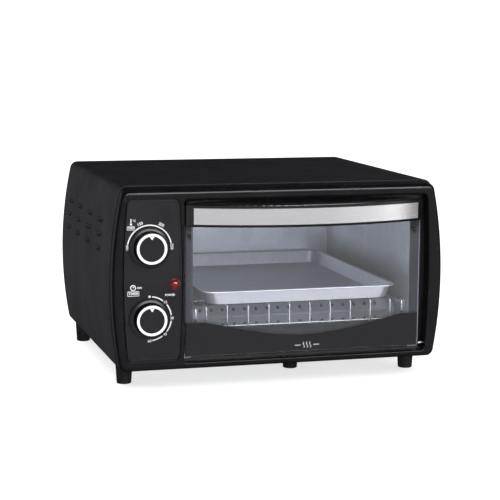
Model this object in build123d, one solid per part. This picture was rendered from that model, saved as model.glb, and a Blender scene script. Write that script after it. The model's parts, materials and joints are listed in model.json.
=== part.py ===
from build123d import *
from math import cos, radians, sin, sqrt
import os

# Countertop toaster oven, about ten litres. Millimetres, +Z up, the door faces -Y.
# Everything is drawn with y = 0 on the face of the control panel, z = 0 on the
# surface that the oven stands on and x = 0 on the cabinet's centre line. Each
# sub-part is moved back on export, so that the origin is the bottom centre of
# the whole oven.

# ---- driving dimensions: cabinet ----
HALF_WIDTH = 180.0
SIDE_BOW_RADIUS = 454.5
SIDE_BOW_Z = 108.2
CABINET_BOTTOM = 20.8
CABINET_TOP = 211.2
CABINET_BACK = 302.0
OUTLINE_CORNER = 9.0
SHEET = 0.8
BEZEL_DEPTH = 14.0
BEZEL_INSET = 0.7
BEZEL_ROUND = 5.0
BEZEL_TOP_DROP = 3.4
BEZEL_INNER_ROUND = 1.2
BOTTOM_LIP_X = 140.0
REAR_RETURN = 9.0
LOUVRE_Y = (80.0, 141.0, 202.0, 260.0)
LOUVRE_Z = (140.0, 155.0, 170.0)
LOUVRE_SIZE = (22.0, 3.6)
LOUVRE_SLOT = (19.0, 1.8)

# ---- driving dimensions: door, handle and hinge ----
DOOR_X = (-103.0, 154.5)
DOOR_Z = (33.0, 196.0)
DOOR_MIDDLE_X = sum(DOOR_X) / 2
GLASS_Y = (3.0, 7.0)
WELL_LEFT = -104.7
WELL_RIGHT_END = 160.8
WELL_RIGHT_MIDDLE = 163.8
WELL_Z = (28.3, 197.5)
WELL_CORNER = 5.0
HINGE_Y = 9.0
HINGE_Z = 35.2
PIN_RADIUS = 1.5
PIN_CLEARANCE = 0.06
HANDLE_REACH = 28.0
HANDLE_END_Y = -0.5
HANDLE_Z = (169.3, 193.5)
HANDLE_THICKNESS = 6.5
HANDLE_SCREW_X = (-98.6, 149.4)
HANDLE_SCREW_Z = 181.0
HANDLE_SCREW_RADIUS = 1.7
STRIP_X = (-95.8, 148.4)
STRIP_Z = (172.2, 188.7)
STRIP_PROUD = 0.4
STRIP_THICKNESS = 1.0
BRACKET_SHEET = 1.2
BRACKET_LEFT_WIDTH = 7.0
BRACKET_RIGHT_WIDTH = 11.0
BRACKET_BACK_Y = 13.6
RIVET_X = (-98.7, 146.6)
RIVET_Z = (52.0, 160.0)
RIVET_RADIUS = 2.1
STAY_RADII = (42.0, 48.0)
STAY_SPREAD = (-8.0, 92.0)
STAY_THICKNESS = 1.4
STAY_INSET = (3.8, 3.2)
STAY_SLOT_Z = (75.4, 84.6)

# ---- driving dimensions: cavity ----
CAVITY_X = (-92.7, 147.3)
CAVITY_Y = (14.9, 288.0)
CAVITY_Z = (42.0, 193.5)
LINER = 0.7
HEATER_Y = (72.0, 233.0)
LOWER_HEATER_Z = 59.0
UPPER_HEATER_Z = 177.5
TUBE_RADIUS = 5.0
GUARD_HOLE_PITCH = 12.4
GUARD_HOLE_COUNT = 17
GUARD_HOLE_RADIUS = 1.7
GUARD_SHEET = 0.7
CAP_RADIUS = 7.5

# ---- driving dimensions: rack and tray ----
GUIDE_TOP = 79.3
RACK_X = (-87.4, 142.0)
RACK_Y = (22.0, 283.0)
RACK_FRAME_RADIUS = 1.5
RACK_LIP_RADIUS = 1.1
RACK_WIRE_RADIUS = 0.75
RACK_WIRE_PITCH = 22.7
RACK_WIRE_COUNT = 10
RACK_LIP_Z = 60.8
TRAY_X = (-80.0, 134.5)
TRAY_Y = (14.5, 281.5)
TRAY_Z = (84.1, 98.5)
TRAY_CORNER = 16.0
TRAY_FLARE = 4.5
TRAY_RIM = 3.6
TRAY_WALL = 0.9
TRAY_RIM_THICKNESS = 1.6

# ---- driving dimensions: controls ----
KNOB_X = -141.0
TEMPERATURE_Z = 149.6
TIMER_Z = 76.4
KNOB_FRONT = 13.0
KNOB_GAP = 0.9
SKIRT_RADIUS = 21.2
BARREL_RADIUS = 16.2
RING_RADII = (13.0, 15.6)
SHAFT_RADIUS = 3.0
SHAFT_CLEARANCE = 0.05
LAMP_X = -114.7
LAMP_Z = 111.3
LAMP_RADIUS = 5.6
PANEL_X = (-167.4, -107.3)
PANEL_BULGES = (4.2, 2.94)
PANEL_Z = (33.0, 197.5)
PANEL_THICKNESS = 2.6
PANEL_SEAT = 2.6
FACE_PLATE_BACK = 5.2
CONTROL_BRACKET_Y = (10.8, 12.0)
BUSHING_RADIUS = 4.9
THERMOSTAT_BACK = 27.0
TIMER_BACK = 36.0
BELL_X = KNOB_X + 4.0

# ---- driving dimensions: feet and rear ----
FOOT_FRONT = (158.0, 48.0)
FOOT_REAR = (160.0, 277.0)
FOOT_MIDDLE = (34.0, 77.0)
FOOT_TOP_RADIUS = 9.0
FOOT_BASE_RADIUS = 7.7
GLAND_X = -140.0
GLAND_Z = 62.0
GLAND_BACK = 308.0
GLAND_BORE = 4.0
FOOT_RECESS = (4.4, 12.0)
FOOT_SCREW_RADIUS = 2.0
TERMINAL_X = (-142.0, -132.0, -122.0)
TERMINAL_Y = 271.0
WIRE_RADIUS = 1.1

OVERALL_MIDDLE_Y = (GLAND_BACK - HANDLE_REACH) / 2


# ---- drawing helpers ----
def block(x, y, z):
    """A box given by its lowest and highest x, y and z."""
    middle = Pos(sum(x) / 2, sum(y) / 2, sum(z) / 2)
    return middle * Box(x[1] - x[0], y[1] - y[0], z[1] - z[0])


def slab(face, y_front, y_back):
    """A face drawn in x and z, made solid from y_front back to y_back."""
    return extrude(Plane.XZ.offset(-y_back) * face, amount=y_back - y_front)


def beam(face, x_left, x_right):
    """A face drawn in y and z, made solid from x_left to x_right."""
    return extrude(Plane.YZ.offset(x_left) * face, amount=x_right - x_left)


def rod_x(radius, x, y, z):
    return Pos(sum(x) / 2, y, z) * Rot(0, 90, 0) * Cylinder(radius, x[1] - x[0])


def rod_y(radius, x, y, z):
    return Pos(x, sum(y) / 2, z) * Rot(90, 0, 0) * Cylinder(radius, y[1] - y[0])


def rod_z(radius, x, y, z):
    return Pos(x, y, sum(z) / 2) * Cylinder(radius, z[1] - z[0])


def cone_y(radii, x, y, z):
    """A cone along +Y; radii are those of its front and its back."""
    cone = Cone(radii[0], radii[1], y[1] - y[0], align=(Align.CENTER, Align.CENTER, Align.MIN))
    return Pos(x, y[0], z) * Rot(-90, 0, 0) * cone


def rectangle(x, z):
    return Pos(sum(x) / 2, sum(z) / 2) * Rectangle(x[1] - x[0], z[1] - z[0])


def along_wire(points, radii, radius):
    """Round wire bent along a path of straight runs and arcs."""
    path = FilletPolyline(*points, radius=radii)
    start = Plane(origin=path @ 0, z_dir=path % 0)
    return sweep(start * Circle(radius), path=path)


def from_front(profile):
    """Turn a profile of (radius, distance in front of y = 0) about the Y axis."""
    face = Plane.XY * make_face(Polyline(*[(r, -d) for r, d in profile], close=True))
    return revolve(face, Axis.Y)


# ---- outlines ----
def side_x(z, inset=0.0):
    """How far the bowed side stands from the centre line at height z."""
    bow = SIDE_BOW_RADIUS - inset
    return HALF_WIDTH - SIDE_BOW_RADIUS + sqrt(bow ** 2 - (z - SIDE_BOW_Z) ** 2)


def cabinet_outline(inset, drop=0.0):
    """Front view of the cabinet: flat top and bottom, sides that bow outwards."""
    low = CABINET_BOTTOM + inset
    high = CABINET_TOP - inset - drop
    half_low = side_x(low, inset)
    half_high = side_x(high, inset)
    middle = HALF_WIDTH - inset
    edges = [
        Line((-half_low, low), (half_low, low)),
        ThreePointArc((half_low, low), (middle, SIDE_BOW_Z), (half_high, high)),
        Line((half_high, high), (-half_high, high)),
        ThreePointArc((-half_high, high), (-middle, SIDE_BOW_Z), (-half_low, low)),
    ]
    face = make_face(edges)
    return fillet(face.vertices(), max(OUTLINE_CORNER - inset, 1.0))


def barrel(left, right, bulges, z, corner):
    """An upright face with bowed sides; bulges are the sags of its two sides."""
    middle = sum(z) / 2
    low, high = z
    left_end = left + bulges[0]
    right_end = right - bulges[1]
    edges = [
        Line((left_end, low), (right_end, low)),
        ThreePointArc((right_end, low), (right, middle), (right_end, high)),
        Line((right_end, high), (left_end, high)),
    ]
    if bulges[0] > 0:
        edges.append(ThreePointArc((left_end, high), (left, middle), (left_end, low)))
    else:
        edges.append(Line((left_end, high), (left_end, low)))
    face = make_face(edges)
    return fillet(face.vertices(), corner)


def door_well(margin):
    bulge = WELL_RIGHT_MIDDLE - WELL_RIGHT_END
    z = (WELL_Z[0] - margin, WELL_Z[1] + margin)
    return barrel(WELL_LEFT - margin, WELL_RIGHT_MIDDLE + margin, (0, bulge), z, WELL_CORNER + margin)


def panel_outline(inset):
    z = (PANEL_Z[0] + inset, PANEL_Z[1] - inset)
    return barrel(PANEL_X[0] + inset, PANEL_X[1] - inset, PANEL_BULGES, z, 5.0 - inset)


def panel_recess():
    """Room for the panel, with a groove that is wider on its outer side."""
    z = (PANEL_Z[0] - 2.0, PANEL_Z[1] + 2.0)
    return barrel(PANEL_X[0] - 2.8, PANEL_X[1] + 1.0, PANEL_BULGES, z, 6.0)


# ---- cabinet ----
def louvres(side):
    """Pressed hoods and the slots under them, on one side of the cabinet."""
    hoods = []
    slots = []
    long, tall = LOUVRE_SIZE
    slot_long, slot_tall = LOUVRE_SLOT
    for z in LOUVRE_Z:
        across = sorted((side * (side_x(z) - 1.4), side * (side_x(z) + 0.9)))
        through = (across[0] - 2, across[1] + 2)
        slot_top = z - 1.0
        for y in LOUVRE_Y:
            hood = block(across, (y - long / 2, y + long / 2), (z - tall / 2, z + tall / 2))
            outer = hood.faces().sort_by(Axis.X)[-1 if side > 0 else 0]
            hoods.append(fillet(outer.edges(), 0.85))
            slot = block(through, (y - slot_long / 2, y + slot_long / 2), (slot_top - slot_tall, slot_top))
            slots.append(slot)
    return hoods, slots


def cabinet_wrap():
    """One sheet over the top and both sides, hemmed at the front, returned at the rear."""
    shell = slab(cabinet_outline(0) - cabinet_outline(SHEET), BEZEL_DEPTH, CABINET_BACK)
    hem = slab(cabinet_outline(0.2) - cabinet_outline(1.3), BEZEL_DEPTH, BEZEL_DEPTH + 3.0)
    rear = slab(cabinet_outline(0.2) - cabinet_outline(REAR_RETURN), CABINET_BACK - SHEET, CABINET_BACK)
    wrap = shell + hem + rear
    open_depth = (BEZEL_DEPTH - 1, CABINET_BACK + 1)
    open_height = (CABINET_BOTTOM - 1, CABINET_BOTTOM + REAR_RETURN + 1)
    wrap -= block((-BOTTOM_LIP_X, BOTTOM_LIP_X), open_depth, open_height)
    for side in (-1, 1):
        hoods, slots = louvres(side)
        for hood in hoods:
            wrap += hood
        for slot in slots:
            wrap -= slot
        for x, y in (FOOT_FRONT, FOOT_REAR):
            wrap -= rod_z(2.3, side * x, y, (CABINET_BOTTOM - 1, CABINET_BOTTOM + 2))
    for x, z in back_screw_places():
        wrap -= rod_y(1.6, x, (CABINET_BACK - 2, CABINET_BACK + 1), z)
    return wrap


def bottom_plate():
    """Flat base sheet inside the wrap's lower lips, with rows of cooling slots."""
    low = CABINET_BOTTOM + SHEET
    through = (low - 1, low + 2)
    plate = block((-161, 161), (BEZEL_DEPTH + 6.6, CABINET_BACK - 2.0), (low, low + SHEET))
    for x in range(-100, 121, 20):
        for y in (110, 190):
            plate -= block((x - 2, x + 2), (y - 22, y + 22), through)
    for x in range(-150, -119, 10):
        plate -= block((x - 2, x + 2), (120, 200), through)
    for x, y in foot_places().values():
        plate -= rod_z(2.3, x, y, through)
    return plate


def back_screw_places():
    """Screws through the rear return of the wrap into the back panel."""
    sides = [(side * 171.5, z) for side in (-1, 1) for z in (60.0, 150.0)]
    return sides + [(x, CABINET_TOP - 5.0) for x in (-120.0, 0.0, 120.0)]


def back_panel():
    """Sheet that closes the rear, with cooling slots and the hole for the gland."""
    front = CABINET_BACK - 2 * SHEET
    through = (front - 1, front + 2)
    panel = slab(cabinet_outline(1.2), front, front + SHEET)
    panel -= block((-175, 175), through, (CABINET_BOTTOM, CABINET_BOTTOM + 2.2))
    for x in range(-164, -117, 9):
        for z in (86, 176):
            panel -= block((x - 1.8, x + 1.8), through, (z - 12, z + 12))
    for x in range(-60, 121, 15):
        for z in (39.5, 177.5):
            panel -= block((x - 5.5, x + 5.5), through, (z - 1.5, z + 1.5))
    panel -= rod_y(5.6, GLAND_X, through, GLAND_Z)
    for x, z in back_screw_places():
        panel -= rod_y(1.5, x, through, z)
    return panel


def back_panel_screws():
    """Cross-head screws of the back panel."""
    back = CABINET_BACK
    recess = (back + 0.9, back + 2.0)
    screws = []
    for x, z in back_screw_places():
        head = cone_y((3.2, 2.4), x, (back, back + 1.6), z)
        cross = block((x - 1.9, x + 1.9), recess, (z - 0.4, z + 0.4))
        cross += block((x - 0.4, x + 0.4), recess, (z - 1.9, z + 1.9))
        screws.append(head + rod_y(1.5, x, (back - 6, back), z) - cross)
    return screws


def bezel_blank():
    """The frame before hollowing: its top slopes down to the front and all edges are rounded."""
    back = Plane.XZ.offset(-BEZEL_DEPTH) * cabinet_outline(BEZEL_INSET)
    front = Plane.XZ * cabinet_outline(BEZEL_INSET, BEZEL_TOP_DROP)
    blank = loft([back, front], ruled=True)
    blank = fillet(blank.faces().sort_by(Axis.Y)[0].edges(), BEZEL_ROUND)
    blank -= slab(door_well(0), -1, BEZEL_DEPTH + 1)
    return fillet(blank.faces().sort_by(Axis.Y)[0].inner_wires().edges(), BEZEL_INNER_ROUND)


def front_bezel():
    """Moulded frame round the whole front, with a well for the door and a seat for the panel."""
    bezel = bezel_blank() - slab(panel_recess(), -1, PANEL_SEAT)
    hollow = slab(cabinet_outline(3.2, BEZEL_TOP_DROP) - door_well(2.4), FACE_PLATE_BACK, BEZEL_DEPTH + 1)
    hollow -= block((WELL_LEFT - 2.4, WELL_RIGHT_MIDDLE), (0, BEZEL_DEPTH + 2), (CABINET_BOTTOM, DOOR_Z[0]))
    bezel -= hollow
    bezel += slab(cabinet_outline(1.6) - cabinet_outline(3.6), BEZEL_DEPTH, BEZEL_DEPTH + 6)
    for x, z in bracket_screw_places():
        bezel += rod_y(3.6, x, (FACE_PLATE_BACK, CONTROL_BRACKET_Y[0]), z)
        bezel -= rod_y(1.3, x, (FACE_PLATE_BACK + 1, CONTROL_BRACKET_Y[0] + 1), z)
    for z in (TEMPERATURE_Z, TIMER_Z):
        bezel -= rod_y(6.0, KNOB_X, (0, FACE_PLATE_BACK + 1), z)
    bezel -= rod_y(LAMP_RADIUS - 1.2, LAMP_X, (0, FACE_PLATE_BACK + 1), LAMP_Z)
    bezel -= rod_x(PIN_RADIUS + PIN_CLEARANCE, (WELL_LEFT - 3, WELL_RIGHT_MIDDLE + 3), HINGE_Y, HINGE_Z)
    return bezel


def control_panel():
    """Thin face plate with a raised rim, lying in its seat in the bezel."""
    panel = slab(panel_outline(0), PANEL_SEAT - PANEL_THICKNESS, PANEL_SEAT)
    panel += slab(panel_outline(0) - panel_outline(1.2), -0.6, 0.2)
    for z in (TEMPERATURE_Z, TIMER_Z):
        panel -= rod_y(6.0, KNOB_X, (-1, PANEL_SEAT + 1), z)
    panel -= rod_y(LAMP_RADIUS - 1.2, LAMP_X, (-1, PANEL_SEAT + 1), LAMP_Z)
    return panel


# ---- controls ----
def bracket_screw_places():
    return [(x, z) for x in (-164.0, -113.5) for z in (50.0, 178.0)]


def control_bracket():
    """Steel plate behind the bezel that carries the thermostat and the timer."""
    plate = block((-169, -109), CONTROL_BRACKET_Y, (44, 184))
    through = (CONTROL_BRACKET_Y[0] - 1, CONTROL_BRACKET_Y[1] + 1)
    for z in (TEMPERATURE_Z, TIMER_Z):
        plate -= rod_y(BUSHING_RADIUS + 0.1, KNOB_X, through, z)
    plate -= rod_y(LAMP_RADIUS, LAMP_X, through, LAMP_Z)
    for x, z in bracket_screw_places():
        plate -= rod_y(1.4, x, through, z)
    return plate


def control_bracket_screws():
    back = CONTROL_BRACKET_Y[1]
    screws = []
    for x, z in bracket_screw_places():
        shank = rod_y(1.3, x, (FACE_PLATE_BACK + 1.5, back), z)
        screws.append(shank + rod_y(2.8, x, (back, back + 1.8), z))
    return screws


def shaft_bore(z):
    return rod_y(SHAFT_RADIUS + SHAFT_CLEARANCE, KNOB_X, (0, 18.2), z)


def bushing(z):
    return rod_y(BUSHING_RADIUS, KNOB_X, (6.0, CONTROL_BRACKET_Y[1]), z)


def thermostat_body():
    """Bimetal thermostat: a bushing, a ceramic stack and two terminals."""
    z = TEMPERATURE_Z
    frame = block((KNOB_X - 13, KNOB_X + 13), (CONTROL_BRACKET_Y[1], 15), (z - 9, z + 9))
    stack = rod_y(7.5, KNOB_X, (15, THERMOSTAT_BACK), z)
    body = bushing(z) + frame + stack
    for side in (-1, 1):
        x = KNOB_X + side * 14
        body += block((x - 3, x + 3), (13.5, 14.5), (z - 17, z - 5))
    return body - shaft_bore(z)


def timer_body():
    """Clockwork timer in a sheet box, with its bushing and two terminals."""
    z = TIMER_Z
    case = block((KNOB_X - 23, KNOB_X + 23), (CONTROL_BRACKET_Y[1], TIMER_BACK), (z - 21, z + 21))
    case = fillet(case.edges().filter_by(Axis.Y), 3.0)
    body = bushing(z) + case
    for tab_z in (z - 12, z + 12):
        tab_depth = (TIMER_BACK, TIMER_BACK + 8)
        body += block((KNOB_X - 20, KNOB_X - 14), tab_depth, (tab_z - 0.5, tab_z + 0.5))
    body += rod_y(2.0, BELL_X, (TIMER_BACK, TIMER_BACK + 2.6), z)
    return body - shaft_bore(z)


def timer_bell():
    """Domed bell on the back of the timer, struck at the end of the time."""
    front = TIMER_BACK + 2.6
    dome = cone_y((15, 8), BELL_X, (front, front + 6), TIMER_Z)
    hollow = cone_y((14, 7), BELL_X, (front - 1, front + 5), TIMER_Z)
    post = rod_y(2.0, BELL_X, (front, front + 5.4), TIMER_Z)
    return dome - hollow + post


def control_shaft(z):
    """Round shaft with a flat at the knob end."""
    shaft = rod_y(SHAFT_RADIUS, KNOB_X, (-9.0, 18.0), z)
    return shaft - block((KNOB_X - 4, KNOB_X + 4), (-10, -2), (z + 2.1, z + 4))


def knob(z):
    """Turned knob: a wide skirt, a tapered barrel and a groove for the ring."""
    front = KNOB_FRONT
    profile = [
        (0, KNOB_GAP),
        (SKIRT_RADIUS, KNOB_GAP),
        (SKIRT_RADIUS, KNOB_GAP + 1.4),
        (SKIRT_RADIUS - 1.6, KNOB_GAP + 2.4),
        (BARREL_RADIUS + 1.2, KNOB_GAP + 3.0),
        (BARREL_RADIUS, front - 1.0),
        (RING_RADII[1], front - 0.6),
        (RING_RADII[1], front - 1.6),
        (RING_RADII[0], front - 1.6),
        (RING_RADII[0], front - 0.8),
        (0, front - 0.8),
    ]
    body = Pos(KNOB_X, 0, z) * from_front(profile)
    return body - control_shaft(z)


def knob_ring(z):
    """Bright ring let into the front edge of the knob."""
    inner, outer = RING_RADII
    front = KNOB_FRONT
    profile = [
        (inner, front - 1.6),
        (outer, front - 1.6),
        (outer, front - 0.5),
        (outer - 0.7, front),
        (inner + 0.7, front),
        (inner, front - 0.5),
    ]
    return Pos(KNOB_X, 0, z) * from_front(profile)


def knob_pointer(z):
    """Small triangle on the knob's face, pointing in from the ring."""
    face = 0.8 - KNOB_FRONT
    base = RING_RADII[0] - 0.05
    corners = [(KNOB_X - 2.4, z + base - 0.5), (KNOB_X, z + base - 3.8), (KNOB_X + 2.4, z + base - 0.5)]
    return slab(make_face(Polyline(*corners, close=True)), face - 0.4, face)


def lamp_lens():
    """Translucent red jewel with a domed front and a tube through the panel."""
    rim = rod_y(LAMP_RADIUS, LAMP_X, (-1.4, 0), LAMP_Z)
    dome = Pos(LAMP_X, 2.6, LAMP_Z) * Sphere(LAMP_RADIUS + 1.1)
    dome = dome & rod_y(LAMP_RADIUS - 0.4, LAMP_X, (-6, -1.4), LAMP_Z)
    tube = rod_y(LAMP_RADIUS - 1.2, LAMP_X, (0, 8), LAMP_Z)
    return rim + dome + tube - rod_y(LAMP_RADIUS - 2.4, LAMP_X, (-1.0, 9), LAMP_Z)


def lamp_body():
    """Neon lamp and its holder, pushed into the lens from behind."""
    bulb = rod_y(LAMP_RADIUS - 2.8, LAMP_X, (0.5, 8.0), LAMP_Z)
    return bulb + rod_y(LAMP_RADIUS - 0.8, LAMP_X, (8.0, 20.0), LAMP_Z)


# ---- oven cavity ----
def heater_places():
    names = {"lower": LOWER_HEATER_Z, "upper": UPPER_HEATER_Z}
    ends = {"front": HEATER_Y[0], "rear": HEATER_Y[1]}
    return {(level, end): (ends[end], names[level]) for level in names for end in ends}


def cavity_front_frame():
    """Flat flange that joins the cavity to the bezel; the stays pass through its slots."""
    front = BEZEL_DEPTH
    back = CAVITY_Y[0]
    frame = slab(door_well(1.6), front, back)
    frame -= slab(rectangle(CAVITY_X, CAVITY_Z), front - 1, back + 1)
    for x in stay_places():
        frame -= block((x - 1.3, x + 1.3), (front - 1, back + 1), STAY_SLOT_Z)
    return frame


def cavity_wall(x):
    wall = block(x, CAVITY_Y, CAVITY_Z)
    for y, z in heater_places().values():
        wall -= rod_x(TUBE_RADIUS + 0.4, (x[0] - 1, x[1] + 1), y, z)
    return wall


def cavity_sheets():
    """Left, right, top, floor and back of the oven cavity, each a flat plated sheet."""
    left, right = CAVITY_X
    low, high = CAVITY_Z
    across = (left - LINER, right + LINER)
    return {
        "cavity_left_wall": cavity_wall((left - LINER, left)),
        "cavity_right_wall": cavity_wall((right, right + LINER)),
        "cavity_top": block(across, CAVITY_Y, (high, high + LINER)),
        "cavity_floor": block(across, CAVITY_Y, (low - LINER, low)),
        "cavity_back_wall": block(across, (CAVITY_Y[1], CAVITY_Y[1] + LINER), (low - LINER, high + LINER)),
    }


def rack_guide(side):
    """Bent strip along a side wall that the rack slides on."""
    wall = CAVITY_X[0] if side < 0 else CAVITY_X[1]
    depth = (RACK_Y[0] + 5.6, CAVITY_Y[1] - 2.0)
    ledge = block(sorted((wall, wall - side * 8.2)), depth, (GUIDE_TOP - 1.2, GUIDE_TOP))
    leg = block(sorted((wall, wall - side * 1.2)), depth, (GUIDE_TOP - 9.0, GUIDE_TOP - 1.0))
    return ledge + leg


def heater_tubes():
    """Four quartz tubes that run from side to side."""
    across = (CAVITY_X[0] - 5.3, CAVITY_X[1] + 5.3)
    bore = (across[0] - 1, across[1] + 1)
    tubes = []
    for y, z in heater_places().values():
        tubes.append(rod_x(TUBE_RADIUS, across, y, z) - rod_x(TUBE_RADIUS - 1.0, bore, y, z))
    return tubes


def heater_coils():
    """The wound heating wire inside each tube, as the cylinder that it fills."""
    across = (CAVITY_X[0] - 3.0, CAVITY_X[1] + 3.0)
    return [rod_x(2.6, across, y, z) for y, z in heater_places().values()]


def heater_end_caps():
    """Ceramic caps that hold the tube ends outside the cavity walls."""
    caps = []
    for y, z in heater_places().values():
        for side, wall in ((-1, CAVITY_X[0] - LINER), (1, CAVITY_X[1] + LINER)):
            cap = rod_x(CAP_RADIUS, sorted((wall, wall + side * 10.5)), y, z)
            caps.append(cap - rod_x(TUBE_RADIUS, sorted((wall - side, wall + side * 4.6)), y, z))
    return caps


def heater_guard(level, end):
    """Sheet folded along a fine groove, with a row of holes in each flank."""
    y, z = heater_places()[(level, end)]
    towards_room = 1 if level == "lower" else -1
    towards_middle = -1 if end == "front" else 1
    reach = towards_middle * 18.0
    crease = z + towards_room * 5.5
    far_edge = (y + reach * 0.50, z + towards_room * 16.6)
    near_edge = (y + reach * 0.79, z - towards_room * 6.4)
    across = (CAVITY_X[0] + 1.2, CAVITY_X[1] - 1.2)
    shift = towards_middle * GUARD_SHEET
    groove = [(y + reach, crease - 0.7), (y + reach * 0.94, crease), (y + reach, crease + 0.7)]
    bend = [near_edge] + groove[::towards_room] + [far_edge]
    profile = bend + [(point_y - shift, point_z) for point_y, point_z in reversed(bend)]
    guard = beam(make_face(Polyline(*profile, close=True)), across[0], across[1])
    rows = [(crease + far_edge[1]) / 2 + towards_room, crease - towards_room * 8.0]
    first = DOOR_MIDDLE_X - GUARD_HOLE_PITCH * (GUARD_HOLE_COUNT - 1) / 2
    depth = sorted((y + reach * 0.3, y + reach * 1.4))
    holes = []
    for index in range(GUARD_HOLE_COUNT):
        for row in rows:
            holes.append(rod_y(GUARD_HOLE_RADIUS, first + index * GUARD_HOLE_PITCH, depth, row))
    return guard - holes


def heat_shield():
    """Plain sheet between the cavity and the controls."""
    shield = block((-106.6, -106.0), (40, 285), (CABINET_BOTTOM + 2 * SHEET, 200))
    for y in range(60, 281, 20):
        shield -= block((-108, -105), (y - 5, y + 5), (186, 189))
    return shield


# ---- door ----
def stay_places():
    return (DOOR_X[0] + STAY_INSET[0], DOOR_X[1] - STAY_INSET[1])


def handle_screw_places():
    return [(x, HANDLE_SCREW_Z) for x in HANDLE_SCREW_X]


def rivet_places():
    return [(x, z) for x in RIVET_X for z in RIVET_Z]


def door_holes(y_front, y_back):
    """Holes through the glass and the angles, for the handle's screws and the rivets."""
    return [rod_y(RIVET_RADIUS, x, (y_front, y_back), z) for x, z in handle_screw_places() + rivet_places()]


def door_glass():
    """Toughened glass with rounded corners and ground edges."""
    pane = rectangle(DOOR_X, DOOR_Z)
    pane = fillet(pane.vertices(), 3.0)
    glass = slab(pane, GLASS_Y[0], GLASS_Y[1])
    glass = chamfer(glass.faces().filter_by(Axis.Y).edges(), 0.5)
    return glass - door_holes(GLASS_Y[0] - 1, GLASS_Y[1] + 1)


def door_bracket(side):
    """Steel angle behind a side edge of the glass, its foot rounded about the hinge."""
    edge = DOOR_X[0] if side < 0 else DOOR_X[1]
    width = BRACKET_LEFT_WIDTH if side < 0 else BRACKET_RIGHT_WIDTH
    tall = (DOOR_Z[0] - 1.0, 190.0)
    front = GLASS_Y[1]
    sheet = sorted((edge, edge - side * BRACKET_SHEET))
    web = block(sheet, (front, BRACKET_BACK_Y), (HINGE_Z, tall[1]))
    foot_round = rod_x(BRACKET_BACK_Y - HINGE_Y, sheet, HINGE_Y, HINGE_Z)
    web += foot_round & block(sheet, (front, BRACKET_BACK_Y), (tall[0], HINGE_Z))
    flange = block(sorted((edge, edge - side * width)), (front, front + BRACKET_SHEET), tall)
    hinge_hole = rod_x(PIN_RADIUS, sorted((edge + side, edge - side * 12)), HINGE_Y, HINGE_Z)
    return web + flange - hinge_hole - door_holes(front - 1, front + 3)


def door_hinge_pin(side):
    """Steel pin fixed in the angle, with its end in the bezel."""
    edge = DOOR_X[0] if side < 0 else DOOR_X[1]
    outer = WELL_LEFT - 2.2 if side < 0 else WELL_RIGHT_END + 2.4
    inner = edge - side * BRACKET_SHEET
    pin = rod_x(PIN_RADIUS, sorted((inner, outer)), HINGE_Y, HINGE_Z)
    return pin + rod_x(2.2, sorted((inner, inner - side * 0.8)), HINGE_Y + 1.0, HINGE_Z)


def door_stay(side):
    """Curved arm that slides through the front frame and stops the open door."""
    x = stay_places()[0] if side < 0 else stay_places()[1]
    inner, outer = STAY_RADII
    first, last = STAY_SPREAD

    def sector(radii, start, end, half_width):
        def on_circle(radius, angle):
            return (HINGE_Y + radius * cos(radians(angle)), HINGE_Z + radius * sin(radians(angle)))

        middle = (start + end) / 2
        edges = [
            ThreePointArc(*[on_circle(radii[1], a) for a in (start, middle, end)]),
            Line(on_circle(radii[1], end), on_circle(radii[0], end)),
            ThreePointArc(*[on_circle(radii[0], a) for a in (end, middle, start)]),
            Line(on_circle(radii[0], start), on_circle(radii[1], start)),
        ]
        return beam(make_face(edges), x - half_width, x + half_width)

    arm = sector((inner, outer), first, last, STAY_THICKNESS / 2)
    stop = sector((inner - 1, outer + 1), first, first + 3.5, 2.6)
    bracket_face = GLASS_Y[1] + BRACKET_SHEET
    return arm + stop - block((x - 4, x + 4), (0, bracket_face), (60, 100))


def handle_circle():
    """Radius and centre y of the bow that the handle's front follows."""
    sag = HANDLE_REACH - STRIP_PROUD + HANDLE_END_Y
    half = (DOOR_X[1] - DOOR_X[0]) / 2
    radius = (half ** 2 + sag ** 2) / (2 * sag)
    return radius, radius - HANDLE_REACH + STRIP_PROUD


def bow_plate(radius_outer, radius_inner, x, z):
    """A plate between two arcs about the handle's centre, cut to x and z."""
    centre_y = handle_circle()[1]
    ring = rod_z(radius_outer, DOOR_MIDDLE_X, centre_y, z)
    ring -= rod_z(radius_inner, DOOR_MIDDLE_X, centre_y, (z[0] - 1, z[1] + 1))
    return ring & block(x, (-HANDLE_REACH - 5, 60), z)


def door_handle():
    """Bowed bar whose ends run into the top corners of the door."""
    radius, centre_y = handle_circle()
    half = (DOOR_X[1] - DOOR_X[0]) / 2
    front = GLASS_Y[0]
    inner = radius - HANDLE_THICKNESS
    inner_half = sqrt(inner ** 2 - (centre_y - front) ** 2)
    middle = DOOR_MIDDLE_X
    outer_left, outer_right = (middle - half, HANDLE_END_Y), (middle + half, HANDLE_END_Y)
    corner_left, corner_right = (middle - half, front), (middle + half, front)
    inner_left, inner_right = (middle - inner_half, front), (middle + inner_half, front)
    edges = [
        ThreePointArc(outer_left, (middle, centre_y - radius), outer_right),
        Line(outer_right, corner_right),
        Line(corner_right, inner_right),
        ThreePointArc(inner_right, (middle, centre_y - inner), inner_left),
        Line(inner_left, corner_left),
        Line(corner_left, outer_left),
    ]
    bar = extrude(Plane.XY.offset(HANDLE_Z[0]) * make_face(edges), amount=HANDLE_Z[1] - HANDLE_Z[0])
    long_edges = [e for e in bar.edges().filter_by(GeomType.CIRCLE) if e.radius > inner + 1]
    bar = fillet(long_edges, 2.0)
    bar -= bow_plate(radius + 1.0, radius - STRIP_THICKNESS + STRIP_PROUD, STRIP_X, STRIP_Z)
    for x, z in handle_screw_places():
        bar -= rod_y(HANDLE_SCREW_RADIUS, x, (0.2, front + 1), z)
    return bar


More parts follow.
